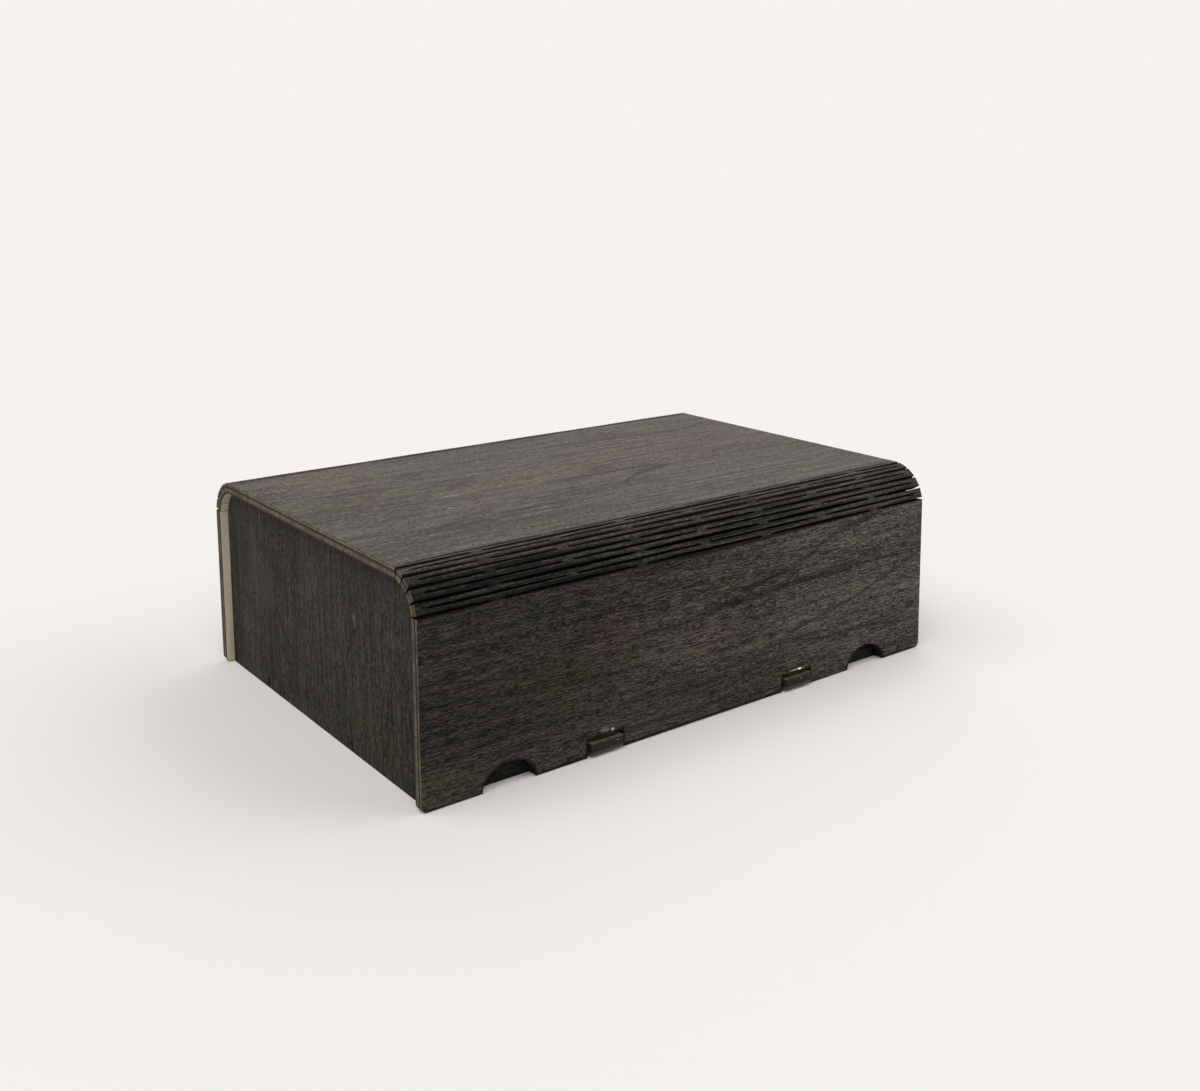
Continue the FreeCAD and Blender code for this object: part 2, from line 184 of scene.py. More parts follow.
class Bench:
    """Node tree of a material or a world, with the few nodes that the looks are made of."""

    def __init__(self, owner):
        owner.use_nodes = True
        self.owner = owner
        self.tree = owner.node_tree

    def node(self, kind, settings, *values, output=0, **named):
        """Add a node. Its settings come first, then its sockets by place or by name."""
        node = self.tree.nodes.new(kind)
        for name, value in settings.items():
            if name == "stops":
                set_stops(node.color_ramp, value)
            elif name == "curve":
                set_curve(node.mapping, value)
            else:
                setattr(node, name, value)
        for place, value in enumerate(values):
            self.feed(node.inputs[place], value)
        for name, value in named.items():
            self.feed(node.inputs[name.replace("_", " ")], value)
        return Wire(self, node.outputs[output])

    def feed(self, socket, value):
        """Link a wire to a socket, or set the socket to a value."""
        if isinstance(value, Wire):
            self.tree.links.new(value.socket, socket)
        else:
            socket.default_value = value

    def outputs(self, kind, names, *values):
        """Add a node that needs no settings, and give its outputs of these names."""
        node = self.node(kind, {}, *values).socket.node
        return [Wire(self, node.outputs[name]) for name in names]

    def grain(self):
        """Place on the sheet: along the grain, across it, and down into the sheet."""
        place = self.node("ShaderNodeAttribute", {"attribute_name": "grain"}, output="Vector")
        return self.outputs("ShaderNodeSeparateXYZ", "XYZ", place)

    def math(self, operation, *values):
        """One step of maths with wires and numbers."""
        return self.node("ShaderNodeMath", {"operation": operation}, *values)

    def noise(self, vector, detail=2.0, roughness=0.5):
        """Noise from 0 to 1, one grain to a metre."""
        return self.node(
            "ShaderNodeTexNoise", {"noise_dimensions": "3D"}, output="Fac",
            Vector=vector, Scale=1.0, Detail=detail, Roughness=roughness)

    def veneer(self, along, across, seed, detail=2.0, roughness=0.5):
        """Noise on the sheet. The places are scaled to grains before they come here."""
        return self.noise(
            self.node("ShaderNodeCombineXYZ", {}, along, across, seed), detail, roughness)

    def speckle(self, scale):
        """Noise through the solid wood, with this many grains to a metre."""
        place = self.node("ShaderNodeTexCoord", {}, output="Object")
        return self.noise(
            self.node("ShaderNodeVectorMath", {"operation": "SCALE"}, place, Scale=scale))

    def ramp(self, value, low, high):
        """Smooth step from 0 to 1 while the value goes from low to high, which may be lower."""
        return self.node(
            "ShaderNodeMapRange", {"interpolation_type": "SMOOTHSTEP"}, value, low, high)

    def ramp_mm(self, value, low, high):
        """The same smooth step, between two lengths in mm."""
        return self.ramp(value, low * MM, high * MM)

    def mix(self, factor, first, second):
        """Mix of two colours. The node repeats its sockets' names for each kind of data, so
        the ones for colours go by their places."""
        node = self.node("ShaderNodeMix", {"data_type": "RGBA"}).socket.node
        colours = {0: factor, 6: full_colour(first), 7: full_colour(second)}
        for place, value in colours.items():
            self.feed(node.inputs[place], value)
        return Wire(self, node.outputs[2])

    def shade(self, colour, value):
        """Colour made lighter or darker by a number around 1."""
        return self.node("ShaderNodeVectorMath", {"operation": "SCALE"}, colour, Scale=value)

    def finish(self, colour, roughness, height, depth, specular):
        """Feed the material's shader, with the height as bumps of that depth in metres."""
        normal = self.node(
            "ShaderNodeBump", {}, Strength=1.0, Distance=depth, Height=height)
        shader = self.tree.nodes["Principled BSDF"]
        self.feed(shader.inputs["Base Color"], colour)
        self.feed(shader.inputs["Roughness"], roughness)
        self.feed(shader.inputs["Normal"], normal)
        shader.inputs["Specular IOR Level"].default_value = specular
        return self.owner


def set_stops(ramp, stops):
    """Fill a colour ramp with stops of (position, colour)."""
    while len(ramp.elements) < len(stops):
        ramp.elements.new(1.0)
    for element, (position, colour) in zip(ramp.elements, stops):
        element.position = position
        element.color = full_colour(colour)


def set_curve(mapping, points):
    """Put a curve through points, all from 0 to 1."""
    curve = mapping.curves[0]
    for place in points[1:-1]:
        curve.points.new(*place)
    for point, place in zip(curve.points, sorted(points)):
        point.location = place
    mapping.update()


def full_colour(colour):
    """Colour with its alpha. A wire stays as it is."""
    return colour if isinstance(colour, Wire) else (*colour, 1.0)


def total(parts):
    """Sum of wires."""
    return sum(parts[1:], parts[0])


# Layers of the stained veneer's figure: grains to a metre along the grain and across it,
# detail and roughness of the noise.
LAYERS = {
    "fibre": (240, 3200, 2, 0.6),
    "dash": (800, 4400, 1, 0.5),
    "ribbon": (42, 620, 3, 0.5),
    "band": (10, 60, 2, 0.5),
}
# Share of each layer in the tone, in doublings of brightness, and in the relief.
TONE = {"fibre": 9.0, "dash": 8.0, "ribbon": 4.0, "band": 1.8}
RELIEF = {"fibre": 0.6, "dash": 0.4, "ribbon": 0.3}
# Doublings by which the palest fibre is lighter than the stain.
PALEST = 1.35
# Doublings by which the ends are darker, the inner walls are darker by painted shade, and
# the top is lighter by painted sheen.
END_SHADE, WALL_PAINTED_SHADE, TOP_PAINTED_SHEEN = 0.6, 1.9, 0.42

# The places and lengths in the tables from here to the plies are in mm, in the part's axes.
# A growth line has points (along the line's own run, across it), the width over which its dark
# side fades, and its depth in doublings. A negative width fades to the other side.
FRONT_LINES = (
    (((-4, 28), (14, 30), (32, 31), (82, 31.5)), 2.6, 0.8),
    (((12, 32.7), (33, 36), (48, 41.5), (65, 43.8)), 2.4, 0.9),
    (((31, 16.5), (40, 19), (57, 22), (70, 26), (81, 29)), 2.0, 1.0),
    (((31, 16.4), (42, 13), (60, 12.5), (76, 10.5)), -1.6, 0.9),
    (((3, 17), (20, 11.5), (28, 9)), -1.8, 0.6),
)
TOP_LINES = (
    (((-15, -7), (10, -7), (22, -7.6), (27.5, -8.8)), 2.6, 1.5),
    (((4, -19), (12, -14), (22, -10), (27.5, -8.8)), -3.0, 1.5),
    (((-80, 4), (-30, 3.6), (10, 5), (60, 4)), 1.8, 0.6),
    (((-39, -26), (-30, -26.3), (-19, -26)), 1.4, 1.5),
    (((-70, -31), (0, -30.5), (70, -31.5)), 1.6, 0.6),
    (((12, 32), (40, 30), (82, 28)), 2.0, 0.8),
    (((12, -10), (45, -9), (82, -12)), -2.0, 0.8),
)
END_LINES = (
    (((15, 17), (20, 21), (24, 25.2), (26, 21.5), (27, 18.5)), -2.0, 1.0),
    (((-26.4, 19.7), (-25.5, 27), (-24, 33), (-21, 28), (-18, 23)), -2.4, 1.0),
)
# Where a growth line's sharp side goes from clear to dark, and how far its ends are drawn out.
LINE_EDGE, LINE_END = (-0.25, 0.1), 3
# A patch has its middle and its reach, both along the grain and across it.
FRONT_PLUM = (((-66, 6), (24, 8)), ((-45, 30), (40, 8)), ((0, 22), (20, 7)))
FRONT_OLIVE = (
    ((-47, 24), (16, 8)), ((-26, 24), (6, 4)), ((-44, 15), (7, 4)), ((-78, 5), (9, 6)),
)
TOP_PLUM = (
    ((-12, 2), (44, 13)), ((48, 10), (60, 30)), ((-65, 32), (24, 20)), ((-60, 8), (16, 6)),
)
END_PLUM = (((34, 12), (16, 7)), ((9, 18), (8, 14)))
END_OLIVE = (((8, -36), (8, 18)), ((37, -25), (5, 3)))
# A dark patch or a small mark also has its depth in doublings. A scuff or chip is below 0,
# and so is the broad patch on the right of the front, which is painted sheen.
FRONT_DARK_AND_SHEEN = (
    ((-85, 34), (80, 40), 0.7), ((-55, 20), (50, 40), 0.35), ((-12, 44), (22, 4), 0.5),
    ((0, 8), (34, 9), 0.25), ((70, 26), (60, 44), -0.5),
)
FRONT_MARKS = (
    ((-31, 5.3), (0.6, 0.8), -2.9), ((-33.5, 5.8), (1.8, 1.2), -1.6),
    ((34.5, 5.2), (0.7, 0.5), -2.8), ((33, 5.3), (3.6, 0.5), -2.6), ((33, 7), (7, 3.5), -0.35),
)
TOP_MARKS = (
    ((-24, 16), (4, 0.7), -1.3), ((-42.5, -2), (4.5, 0.6), -1.3), ((-49, -13), (1.4, 1.2), -1.2),
    ((-29, -27.6), (2, 0.8), -1.1), ((-77.2, -32), (3.6, 0.5), -1.3),
)
# The first two end marks are painted shade: dark ticks in the gaps beside the floor's tabs.
END_MARKS_AND_GAP_SHADE = (
    ((2.0, 31.25), (1.7, 0.9), 5.0), ((2.0, -20.35), (1.7, 0.9), 5.0),
    ((27, 24), (1.6, 0.9), -0.7), ((35.5, -24), (3, 1), -0.9), ((46, 33), (6, 0.6), -0.8),
)
# Notches in the cover's lower edge: middle, half width and height of their burnt rim.
THUMB_NOTCH = (61.5, 7.9, 6.2)
TAB_NOTCH = (33.3, 5.75, 4.75)
# Place across the cover's sheet where the top's figure gives way to the front wall's.
FRONT_FROM = (-54, -58)
# Depth over which the rim of a stained face is burnt, and the end of the cover past which it
# is worn to gold instead.
RIM_DEPTH, WORN_END = (0.02, 0.09), (-83, -84)

# Plies at a cut edge and on a tab, by share of the sheet's depth from its outer face. At a cut
# edge, the char from 0.84 to the inner face is painted shade.
EDGE_PLIES_AND_SHADE = (
    (0.00, "edge_gold"), (0.18, "edge_gold"), (0.25, "char"), (0.40, "char"),
    (0.47, "edge_core"), (0.76, "edge_core"), (0.84, "char"), (1.00, "char"),
)
# On a tab, the char over most of its depth is partly laser scorch, partly painted shade.
TAB_PLIES_AND_SHADE = (
    (0.00, "edge_core"), (0.16, "edge_core"), (0.30, "char"), (0.94, "char"),
    (0.98, "edge_core"), (1.00, "edge_core"),
)


def stained_face(name, wood, seed, figure, burnt=0.9):
    """Charcoal stain on veneer, with its rim burnt. The figure adds growth lines and patches,
    and on some parts painted shade and sheen: it takes the bench, the place and the seed, and
    gives how dark it is (in doublings), a plum share and an olive share."""
    bench = Bench(bpy.data.materials.new(name))
    along, across, down = bench.grain()
    wander = bench.veneer(along * 14, across * 40, seed, detail=3) - 0.5
    drift = across + wander * (4 * MM)
    layers = {
        layer: bench.veneer(along * length, drift * width, seed + number, detail, rough) - 0.5
        for number, (layer, (length, width, detail, rough)) in enumerate(LAYERS.items(), 1)}
    tint = bench.veneer(along * 22, drift * 60, seed + 5)
    dark, plum, olive = figure(bench, along, drift, seed)
    plum = bench.ramp(tint, 0.54, 0.70) * 0.4 + plum
    olive = bench.ramp(tint, 0.46, 0.32) * 0.5 + olive
    colour = bench.mix(bench.ramp(plum, 0, 1), wood.stain, wood.stain_plum)
    colour = bench.mix(bench.ramp(olive, 0, 1), colour, wood.stain_olive)
    figured = total([layers[layer] * share for layer, share in TONE.items()])
    colour = bench.shade(colour, 2.0 ** (bench.math("MINIMUM", figured, PALEST) - dark))
    rim = bench.ramp_mm(down, *RIM_DEPTH) * burnt
    worn = bench.ramp_mm(along, *WORN_END) * bench.ramp(layers["ribbon"], -0.15, 0.15)
    colour = bench.mix(rim, colour, bench.mix(worn, wood.char, wood.edge_gold))
    height = total([layers[layer] * share for layer, share in RELIEF.items()])
    return bench.finish(
        colour, 0.60 + layers["fibre"] * 0.5, height, 0.06 * MM, specular=0.04)


def growth_line(bench, along, across, points, width, depth):
    """Dark line through points, sharp on one side and fading on the other."""
    start, end = points[0][0], points[-1][0]
    low = min(place for _, place in points)
    # A level line has no span of its own.
    span = max(place for _, place in points) - low or 1.0
    share = bench.node("ShaderNodeMapRange", {}, along, start * MM, end * MM)
    curve = bench.node(
        "ShaderNodeFloatCurve",
        {"curve": [((x - start) / (end - start), (y - low) / span) for x, y in points]},
        1.0, share)
    off = (across - (curve * (span * MM) + low * MM)) * math.copysign(1.0, width)
    clear, full = LINE_EDGE
    body = bench.ramp_mm(off, clear, full) * bench.ramp_mm(off, abs(width), full)
    ends = bench.ramp_mm(along, start - LINE_END, start + LINE_END) * bench.ramp_mm(
        along, end + LINE_END, end - LINE_END)
    return body * ends * depth


def growth_lines(bench, along, across, lines):
    """All growth lines of a table."""
    return total([growth_line(bench, along, across, *line) for line in lines])


def patch(bench, along, across, middle, reach, depth=1.0):
    """Soft oval patch, at its full depth in the middle and 0 outside."""
    x = (along - middle[0] * MM) / (reach[0] * MM)
    y = (across - middle[1] * MM) / (reach[1] * MM)
    return bench.ramp(x * x + y * y, 1.0, 0.0) * depth


def patches(bench, along, across, spots):
    """All patches or marks of a table."""
    return total([patch(bench, along, across, *spot) for spot in spots])


def cover_figure(bench, along, across, seed, lines, sizes):
    """Figure of the cover. The place across the sheet is Y on the top, and on the front wall
    it is Z less the run at which Z would be 0."""
    wall_start, _, _, wall_run = lines[-1]
    front = across + (wall_start.y + wall_run)
    on_front = bench.ramp_mm(across, *FRONT_FROM)
    on_top = 1.0 - on_front
    dark = on_front * (
        growth_lines(bench, along, front, FRONT_LINES)
        # The broad light patch on the right of the front is painted sheen.
        + patches(bench, along, front, FRONT_DARK_AND_SHEEN + FRONT_MARKS)
        # Burnt notch rims, and painted contact shadow along the foot.
        + notch_scorch_and_foot_shadow(bench, along, front))
    # On the top, the figure is made lighter by painted sheen.
    dark = dark + on_top * (
        growth_lines(bench, along, across, TOP_LINES)
        + patches(bench, along, across, TOP_MARKS) - TOP_PAINTED_SHEEN)
    # Dark bands along the slit rows: partly soot, partly painted shade of the open slits.
    dark = dark + slit_soot_and_shade(bench, along, abs(across), lines, sizes)
    plum = patches(bench, along, front, FRONT_PLUM) * on_front * 0.6
    plum = plum + (patches(bench, along, across, TOP_PLUM) * 0.5 + 0.25) * on_top
    olive = patches(bench, along, front, FRONT_OLIVE) * on_front * 0.8
    return dark + faint_lines(bench, along, across, seed), plum, olive


def slit_soot_and_shade(bench, along, run, lines, sizes):
    """Dark bands along the rows of slits, on the slats and on the corners between them, partly
    soot from the cutter and partly painted shade of the open slits, and the whole bend a little
    darker. A row on a slat is bridged where the rows on the corners are open widest."""
    turn = along * (math.pi * sizes.fields / COVER_LENGTH)
    bridged = abs(bench.math("SINE", turn))
    folded = abs(bench.math("COSINE", turn))
    first_row = lines[1][3] - sizes.slat / 2
    row = (run - first_row) / sizes.slat
    to_slat_row = abs(bench.math("FRACT", row + 0.5) - 0.5) * sizes.slat
    to_corner_row = abs(bench.math("FRACT", row) - 0.5) * sizes.slat
    inside = bench.ramp(row, -0.4, -0.2) * bench.ramp(
        row, sizes.corners - 0.2, sizes.corners - 0.3)
    on_slats = bench.ramp_mm(to_slat_row, 0.30, 0.20) * bench.ramp(bridged, 0.08, 0.16)
    on_corners = bench.ramp_mm(to_corner_row, 0.66, 0.50) * (
        bench.ramp(folded, 0.02, 0.10) * 0.4 + 0.9)
    return (on_slats + on_corners + 0.6) * inside


def notch_scorch_and_foot_shadow(bench, along, height):
    """Burnt rim round the notches of a wall, and a dark band along its lower edge that is partly
    burnt edge and partly painted contact shadow where the wall meets the table.
    """
    side = abs(along)
    middle, reach, rise = THUMB_NOTCH
    x = (side - middle * MM) / (reach * MM)
    y = height / (rise * MM)
    thumb = bench.ramp(x * x + y * y, 1.10, 0.96)
    middle, reach, rise = TAB_NOTCH
    tab = bench.ramp_mm(abs(side - middle * MM), reach + 0.5, reach) * bench.ramp_mm(
        height, rise + 0.5, rise)
    # Dark band along the foot: partly burnt edge, partly painted contact shadow.
    foot = bench.ramp_mm(height, 0.9, 0.3)
    return (thumb + tab + foot) * 1.5


def end_figure(bench, along, across, seed):
    """Figure of an end panel: cathedral peaks on upright grain, with marks and with painted
    shade in the gaps beside the floor's tabs. Its growth lines run over the grain, so their
    points have the place across it first."""
    dark = growth_lines(bench, across, along, END_LINES) + patches(
        bench, along, across, END_MARKS_AND_GAP_SHADE)
    plum = patches(bench, along, across, END_PLUM) * 0.7
    olive = patches(bench, along, across, END_OLIVE)
    return dark + faint_lines(bench, along, across, seed) + END_SHADE, plum, olive


def plain_figure(bench, along, across, seed, shade):
    """Figure of a panel without patches, darker by a shade, with faint growth lines."""
    return faint_lines(bench, along, across, seed) + shade, 0.0, 0.0


def faint_lines(bench, along, across, seed):
    """Faint dark lines where a slow height passes even steps."""
    height = bench.veneer(along * 9, across * 30, seed + 6, detail=1)
    phase = bench.math("FRACT", height * 14.0)
    line = bench.ramp(phase, 0.0, 0.12) * bench.ramp(phase, 0.5, 0.12)
    strength = bench.veneer(along * 25, across * 60, seed + 7, detail=1)
    return line * bench.ramp(strength, 0.45, 0.62) * 0.35


def bare_face(name, wood):
    """Unstained inner face: pale veneer with faint fibres."""
    bench = Bench(bpy.data.materials.new(name))
    along, across, _ = bench.grain()
    wander = bench.veneer(along * 9, across * 30, 3.0, detail=3) - 0.5
    drift = across + wander * (6 * MM)
    fibre = bench.veneer(along * 200, drift * 2200, 7.0, detail=3)
    ribbon = bench.veneer(along * 20, drift * 260, 11.0, detail=3)
    colour = bench.shade(wood.bare, 0.80 + fibre * 0.22 + ribbon * 0.20)
    return bench.finish(
        colour, 0.62 + (fibre - 0.5) * 0.1, fibre, 0.03 * MM, specular=0.2)


def plies(bench, wood, sheet, table):
    """Plies of the sheet by their depth."""
    _, _, down = bench.grain()
    stops = [(share, getattr(wood, name)) for share, name in table]
    return bench.node("ShaderNodeValToRGB", {"stops": stops}, down / sheet)


def cut_edge(name, wood, sheet):
    """Edge of the sheet: golden face ply, darker core, a charred glue line, and char near the
    inner face that is painted shade.
    """
    bench = Bench(bpy.data.materials.new(name))
    streak, blotch = bench.speckle(900.0), bench.speckle(130.0)
    layers = plies(bench, wood, sheet, EDGE_PLIES_AND_SHADE)
    colour = bench.mix(bench.ramp(blotch, 0.45, 0.70) * 0.5, layers, wood.char)
    colour = bench.shade(colour, 2.0 ** ((streak - 0.5) * 4.0))
    return bench.finish(colour, 0.6 + streak * 0.2, streak, 0.04 * MM, specular=0.2)


def tab_wood(name, wood, sheet):
    """Tab of the tray floor: dark over most of it, partly laser scorch and partly painted shade
    of the notch that it sits in, with pale splinters.
    """
    bench = Bench(bpy.data.materials.new(name))
    streak, blotch = bench.speckle(1100.0), bench.speckle(330.0)
    layers = plies(bench, wood, sheet, TAB_PLIES_AND_SHADE)
    colour = bench.mix(bench.ramp(blotch, 0.50, 0.64) * 0.7, layers, wood.char)
    colour = bench.mix(bench.ramp(streak, 0.66, 0.72) * 0.4, colour, wood.bare)
    colour = bench.shade(colour, 2.0 ** ((blotch - 0.6) * 4.0))
    return bench.finish(colour, 0.6 + streak * 0.2, streak, 0.05 * MM, specular=0.2)


def slit_wall(name, wood):
    """Wall of a slit: burnt black by the cutter."""
    bench = Bench(bpy.data.materials.new(name))
    soot = bench.speckle(500.0)
    colour = bench.shade(wood.char, 0.6 + soot * 0.8)
    return bench.finish(colour, 0.8 + soot * 0.1, soot, 0.02 * MM, specular=0.1)


# Corners of loose triangles that are nearer than this are one, and faces that are turned less
# than this from each other are one flat face.
MERGE_NEARER, FLAT_BELOW = 1e-6, math.radians(0.5)
# An edge is eased when its faces are turned by more than this, in this many steps, and looks
# smooth below the last angle.
SHARP_ABOVE, EASE_STEPS, SMOOTH_BELOW = math.radians(30), 2, math.radians(25)
# Height of the cover's lowest part, whose notches have eased rims.
FOOT_ZONE = 6.5 * MM
# Length that is too short to see, for telling which way a face looks, and depths that are
# nearer than this to each other are the same.
HAIR, SAME_DEPTH = 0.01 * MM, 1e-7


def copy_of_node(node_name, piece_name):
    """Copy of a CAD node with its loose triangles merged into flat faces, ready to shape."""
    bpy.ops.object.select_all(action="DESELECT")
    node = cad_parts[node_name]
    piece = bpy.data.objects.new(piece_name, node.data.copy())
    bpy.context.scene.collection.objects.link(piece)
    piece.data.name = piece_name
    piece.data.materials.clear()
    piece.select_set(True)
    bpy.context.view_layer.objects.active = piece
    bpy.ops.object.mode_set(mode="EDIT")
    bpy.ops.mesh.select_mode(type="EDGE")
    bpy.ops.mesh.select_all(action="SELECT")
    bpy.ops.mesh.customdata_custom_splitnormals_clear()
    bpy.ops.mesh.remove_doubles(threshold=MERGE_NEARER)
    bpy.ops.mesh.dissolve_limited(angle_limit=FLAT_BELOW)
    return piece


def cut_at(axis, place):
    """Cut every face of the piece in edit mode that crosses a plane across an axis."""
    normal = Vector((0, 0, 0))
    normal[axis] = 1
    bpy.ops.mesh.select_all(action="SELECT")
    bpy.ops.mesh.bisect(plane_co=normal * place, plane_no=normal)


def ease_edges(piece, wanted, width):
    """Round the sharp edges for which wanted(middle) is true. The piece is in edit mode."""
    bpy.ops.mesh.select_all(action="DESELECT")
    shape = bmesh.from_edit_mesh(piece.data)
    for edge in shape.edges:
        middle = (edge.verts[0].co + edge.verts[1].co) / 2
        edge.select = edge.calc_face_angle(0.0) > SHARP_ABOVE and wanted(middle)
    bmesh.update_edit_mesh(piece.data)
    bpy.ops.mesh.bevel(offset=width, segments=EASE_STEPS, affect="EDGES")


def write_grain(piece, place):
    """Store place(vertex), the spot on the sheet, on every vertex. It ends edit mode."""
    bpy.ops.object.mode_set(mode="OBJECT")
    layer = piece.data.attributes.new("grain", "FLOAT_VECTOR", "POINT")
    for vertex in piece.data.vertices:
        layer.data[vertex.index].vector = place(vertex.co)


def kind_of_face(facing):
    """Kind of a face by how squarely it looks out of the sheet, from 1 down to -1."""
    if facing > 0.3:
        return OUTER
    return INNER if facing < -0.9 else EDGE


def dress(piece, materials, choose):
    """Give each face the material whose place choose(face centre, normal) returns."""
    for material in materials:
        piece.data.materials.append(material)
    for face in piece.data.polygons:
        face.material_index = choose(face.center, face.normal)
    bpy.ops.object.select_all(action="DESELECT")
    piece.select_set(True)
    bpy.context.view_layer.objects.active = piece
    bpy.ops.object.shade_smooth_by_angle(angle=SMOOTH_BELOW)


def bend_lines(sizes):
    """Straight stretches of the cover's outer line from the top down to the front wall:
    (start in Y and Z, way along, outward normal, run where it starts)."""
    turn = math.radians(90.0 / sizes.corners)
    slats = sizes.corners - 1
    reach = sizes.slat * sum(math.cos(turn * step) for step in range(1, slats + 1))
    spot = Vector((COVER_HIGH.y - reach, COVER_HIGH.z))
    run = spot.x
    lines = [(spot, Vector((1, 0)), Vector((0, 1)), run)]
    for step in range(1, slats + 1):
        lean = turn * step
        way = Vector((math.cos(lean), -math.sin(lean)))
        lines.append((spot, way, Vector((math.sin(lean), math.cos(lean))), run))
        spot = spot + way * sizes.slat
        run += sizes.slat
    lines.append((spot, Vector((0, -1)), Vector((1, 0)), run))
    return lines


def slit_rows(lines, sizes):
    """Rows of slits, from the top down: (outer point, ways down the run before and after the
    row, outward normal, whether it is on a corner). A row on a slat is half a slat above one
    on a corner."""
    rows = []
    for (_, above, facing, _), (corner, below, normal, _) in zip(lines, lines[1:]):
        rows.append((corner - above * (sizes.slat / 2), above, above, facing, False))
        rows.append((corner, above, below, (facing + normal).normalized(), True))
    return rows


# Slices to one field of a row, along which the walls of its slits can curve.
SLICES = 12
# The walls of a slit are nearer than this to the middle of its row, and between these depths,
# above the outer line and as a share of the sheet.
WALL_NEARER, WALL_ABOVE, WALL_BELOW = 0.45 * MM, 0.2 * MM, 1.1
# How blunt the ends of an open slit are: 1 is a plain wave, and less is blunter.
BLUNTNESS = 0.6
# How far a slit on a slat opens next to one on a corner, and how much of a slit's width is
# lost on the inside of the sheet.
SLAT_OPENING, INNER_LOSS = 0.5, 0.85
# The first corner's row is wider by this factor, and in the last slice at the right end the
# slits lose this share of their opening.
FIRST_CORNER, END_LOSS = 1.3, 0.4


def relax_lattice(piece, lines, sizes):
    """Let the slits gape in their middles and close at their ends, and let the wood between
    two rows twist, as it does where a row is bridged."""
    rows = slit_rows(lines, sizes)
    for vertex in piece.data.vertices:
        flat = Vector((abs(vertex.co.y), vertex.co.z))
        turn = math.pi * sizes.fields * vertex.co.x / COVER_LENGTH
        bridged, folded = abs(math.sin(turn)), abs(math.cos(turn))
        into_end = min(max(vertex.co.x / COVER_HIGH.x * SLICES - (SLICES - 1), 0), 1)
        for number, (point, above, below, normal, at_corner) in enumerate(rows):
            off = (flat - point).dot((above + below).normalized())
            depth = (point - flat).dot(normal)
            if abs(off) > WALL_NEARER or not -WALL_ABOVE < depth < sizes.sheet * WALL_BELOW:
                continue
            opening = folded ** BLUNTNESS if at_corner else SLAT_OPENING * bridged ** BLUNTNESS
            opening *= 1 - END_LOSS * into_end
            gape = sizes.slit_tip + (sizes.slit_gape - sizes.slit_tip) * opening
            if number == 1:
                gape *= FIRST_CORNER
            half = gape / 2 * (1 - INNER_LOSS * min(max(depth / sizes.sheet, 0), 1))
            flat += (above if off < 0 else below) * (math.copysign(half, off) - off)
            if 1 < number < len(rows) - 1:
                flat += normal * sizes.twist * bridged * (-1 if at_corner else 1)
            vertex.co.y = math.copysign(flat.x, vertex.co.y)
            vertex.co.z = flat.y
            break


def cover_place(lines, spot):
    """Spot of the cover on its flat sheet: along the grain, across it, and down into it."""
    flat = Vector((abs(spot.y), spot.z))
    depth, across = math.inf, 0.0
    for start, way, normal, run in lines:
        below = (start - flat).dot(normal)
        if below < depth - SAME_DEPTH:
            depth, across = below, run + (flat - start).dot(way)
    return Vector((spot.x, -across if spot.y < 0 else across, depth))


class KEEPSAKE_OT_cover(bpy.types.Operator):
    """Build the cover: one stained sheet bent twice along rows of slits"""

    bl_idname = "keepsake.cover"
    bl_label = "Cover"

    def execute(self, context):
        sizes = context.scene.keepsake_sizes
        wood = context.scene.keepsake_wood
        lines = bend_lines(sizes)
        end = COVER_HIGH.x - HAIR
        foot = COVER_LOW.z + FOOT_ZONE
        piece = copy_of_node("cover", "cover_sheet")
        slices = sizes.fields * SLICES
        for number in range(1, slices):
            cut_at(0, COVER_LOW.x + COVER_LENGTH * number / slices)
        ease_edges(piece, lambda spot: abs(spot.x) > end or spot.z < foot, sizes.edge_ease)
        write_grain(piece, lambda spot: cover_place(lines, spot))
        relax_lattice(piece, lines, sizes)
        materials = [
            stained_face(
                "stained_cover", wood, 3.0, partial(cover_figure, lines=lines, sizes=sizes)),
            bare_face("bare_cover", wood),
            cut_edge("cover_edge", wood, sizes.sheet),
            slit_wall("burnt_cut", wood),
        ]

        def choose(centre, normal):
            rise = cover_place(lines, centre).z - cover_place(lines, centre + normal * HAIR).z
            kind = kind_of_face(rise / HAIR)
            inside = abs(centre.x) <= end - sizes.edge_ease
            return SLIT if kind == EDGE and inside else kind

        dress(piece, materials, choose)
        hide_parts("cover")
        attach(piece, "cover")
        return {"FINISHED"}


def flat_panel(node_name, piece_name, axes, side, materials, cuts=()):
    """Flat panel of the tray. Its axes run along its grain, across it and out of its outer
    face, which is on the side of -1 or 1. Past a cut (axis, distance from the middle,
    material's place) all faces have that material."""
    sizes = bpy.context.scene.keepsake_sizes
    along, across, out = axes
    low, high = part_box(node_name)
    face = high[out] if side > 0 else low[out]
    piece = copy_of_node(node_name, piece_name)
    for axis, distance, _ in cuts:
        cut_at(axis, distance)
        cut_at(axis, -distance)
    ease_edges(piece, lambda spot: True, sizes.edge_ease * 0.6)
    write_grain(piece, lambda spot: Vector((
        spot[along], spot[across], (face - spot[out]) * side)))

    def choose(centre, normal):
        for axis, distance, place in cuts:
            if abs(centre[axis]) > distance:
                return place
        return kind_of_face(normal[out] * side)

    dress(piece, materials, choose)
    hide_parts(node_name)
    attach(piece, "tray")
    return piece


